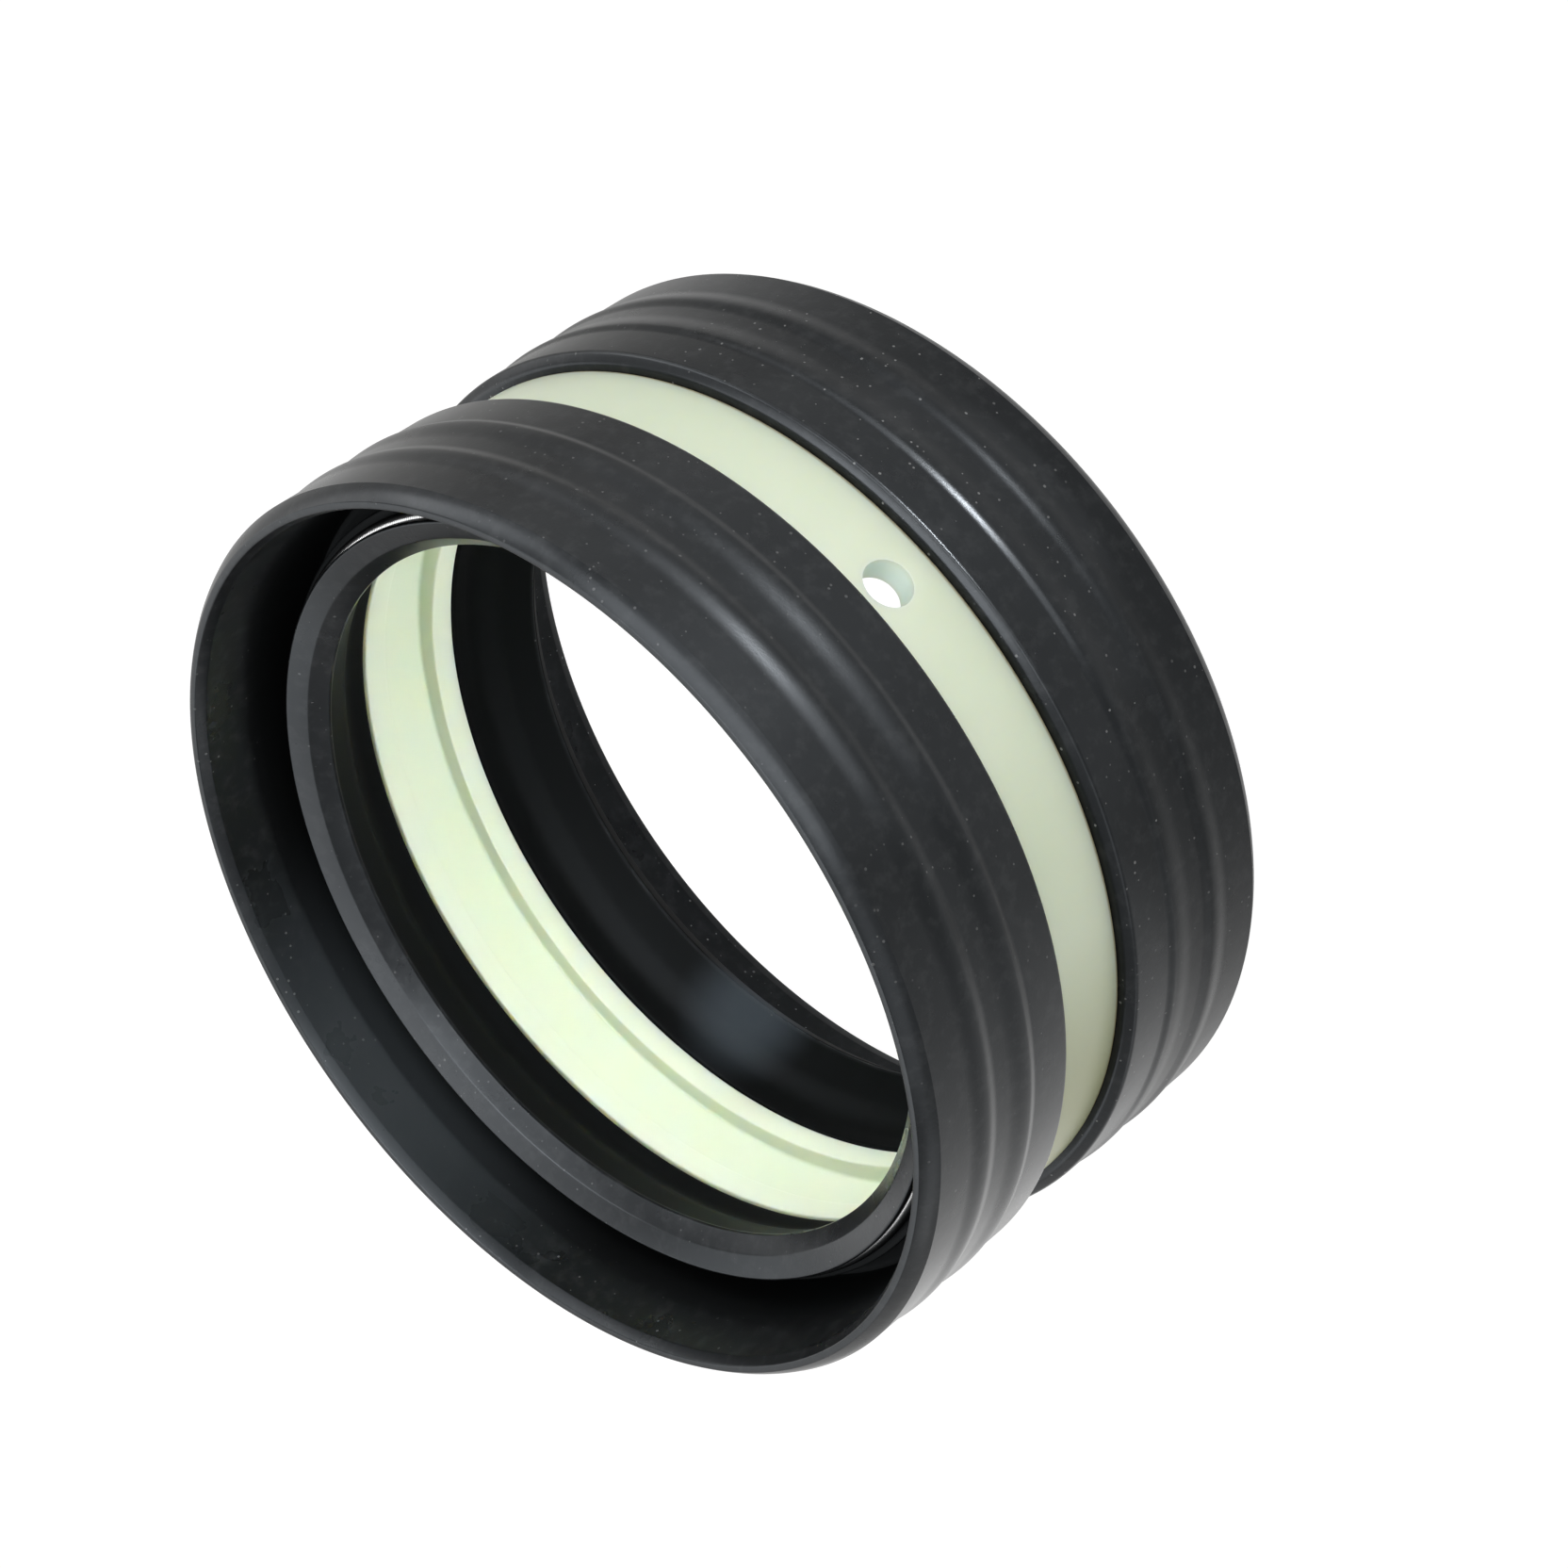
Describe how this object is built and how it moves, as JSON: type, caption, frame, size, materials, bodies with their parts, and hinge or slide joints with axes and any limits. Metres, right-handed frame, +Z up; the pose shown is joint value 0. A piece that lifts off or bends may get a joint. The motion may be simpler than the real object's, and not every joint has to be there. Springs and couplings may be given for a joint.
{
  "type": "oil seal",
  "caption": "Double shaft seal: ribbed rubber lip seals with garter springs, open sides outwards, held apart by a drilled plastic spacer ring.",
  "frame": {"origin": "centre of the lower rim, on the shaft's axis, at the level that the set stands on", "axes": "+Z up along the shaft's axis, towards the upper rim; -Y out through the spacer's oil hole"},
  "size_m": [0.1408, 0.1408, 0.0725],
  "materials": {
    "rubber": "moulded matt black nitrile rubber",
    "nylon": "turned pale green nylon, slightly translucent",
    "spring_steel": "bright drawn wire"
  },
  "bodies": {
    "root": {"upper_seal": "rubber", "lower_seal": "rubber", "spacer_ring": "nylon", "upper_garter_spring": "spring_steel", "lower_garter_spring": "spring_steel"}
  },
  "joints": []
}
